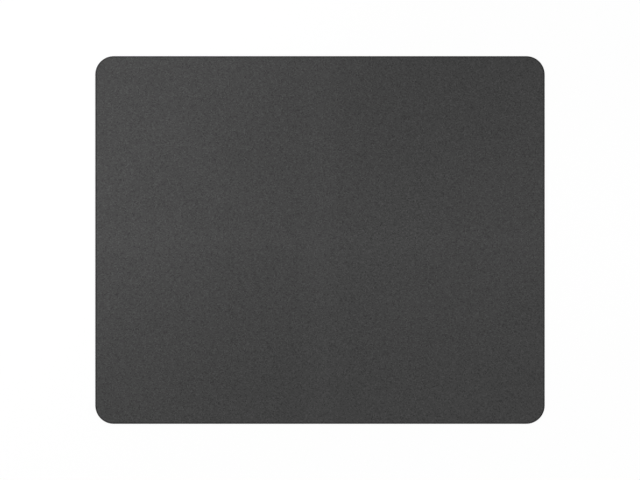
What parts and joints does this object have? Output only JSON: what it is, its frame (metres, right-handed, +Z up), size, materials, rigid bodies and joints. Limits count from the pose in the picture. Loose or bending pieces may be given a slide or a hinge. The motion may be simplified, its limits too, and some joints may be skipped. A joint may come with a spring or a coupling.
{
  "type": "mouse pad",
  "caption": "Flat rectangular mouse pad with rounded corners: a dark grey cloth face bonded to a foamed rubber base that grips the desk.",
  "frame": {"origin": "on the desk, under the middle of the pad", "axes": "+X across the pad along its long side, +Y from the wrist towards the screen, +Z up out of the cloth face"},
  "size_m": [0.22, 0.18, 0.002],
  "materials": {
    "foam_rubber": "matt closed-cell foam, with an embossed grip pattern underneath",
    "hot_melt_film": "satin thermoplastic film, seen only as a line at the cut edge",
    "knitted_cloth": "matt fine polyester knit, dyed dark grey"
  },
  "bodies": {
    "root": {"rubber_base": "foam_rubber", "bond_film": "hot_melt_film", "cloth_face": "knitted_cloth"}
  },
  "joints": []
}
